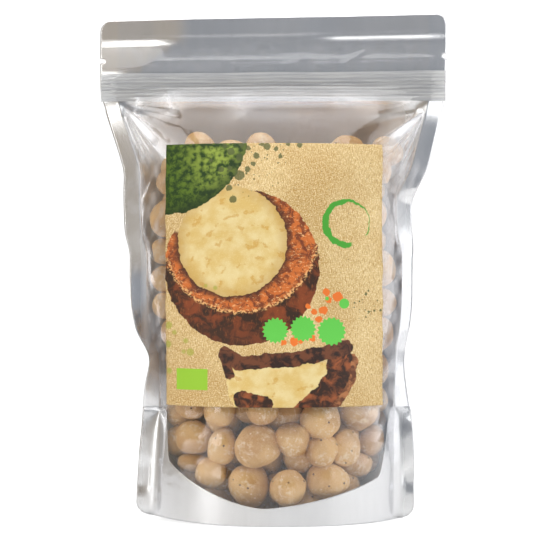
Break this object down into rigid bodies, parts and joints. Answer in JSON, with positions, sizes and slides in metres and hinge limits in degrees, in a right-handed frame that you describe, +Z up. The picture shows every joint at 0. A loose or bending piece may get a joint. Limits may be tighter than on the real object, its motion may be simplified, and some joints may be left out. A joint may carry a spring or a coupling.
{
  "type": "stand-up zip pouch of shelled macadamia kernels",
  "caption": "Stand-up pouch with a clear bulging front, metallised back and gusset, press zip, top seal, paper label, and shelled macadamia kernels inside.",
  "frame": {"origin": "on the table under the middle of the pouch", "axes": "+Z up, -Y towards the viewer of the clear front, +X to that viewer's right"},
  "size_m": [0.1701, 0.087, 0.2476],
  "materials": {
    "clear_film": "clear glossy plastic film",
    "metallised_film": "satin metallised film",
    "zip_plastic": "translucent polyethylene",
    "kraft_paper": "matt printed kraft paper",
    "kernel": null
  },
  "bodies": {
    "root": {"front_panel": "clear_film", "back_panel": "metallised_film", "bottom_gusset": "metallised_film", "zip_ridge_strip": "zip_plastic", "zip_groove_strip": "zip_plastic", "label": "kraft_paper", "kernel_01": "kernel", "kernel_02": "kernel", "kernel_03": "kernel", "kernel_04": "kernel", "kernel_05": "kernel", "kernel_06": "kernel", "kernel_07": "kernel", "kernel_08": "kernel", "kernel_09": "kernel", "kernel_10": "kernel", "kernel_11": "kernel", "kernel_12": "kernel", "kernel_13": "kernel", "kernel_14": "kernel", "kernel_15": "kernel", "kernel_16": "kernel", "kernel_17": "kernel", "kernel_18": "kernel", "kernel_19": "kernel", "kernel_20": "kernel", "kernel_21": "kernel", "kernel_22": "kernel", "kernel_23": "kernel", "kernel_24": "kernel", "kernel_25": "kernel", "kernel_26": "kernel", "kernel_27": "kernel", "kernel_28": "kernel", "kernel_29": "kernel", "kernel_30": "kernel", "kernel_31": "kernel", "kernel_32": "kernel", "kernel_33": "kernel", "kernel_34": "kernel", "kernel_35": "kernel", "kernel_36": "kernel", "kernel_37": "kernel", "kernel_fill": "kernel"}
  },
  "joints": []
}
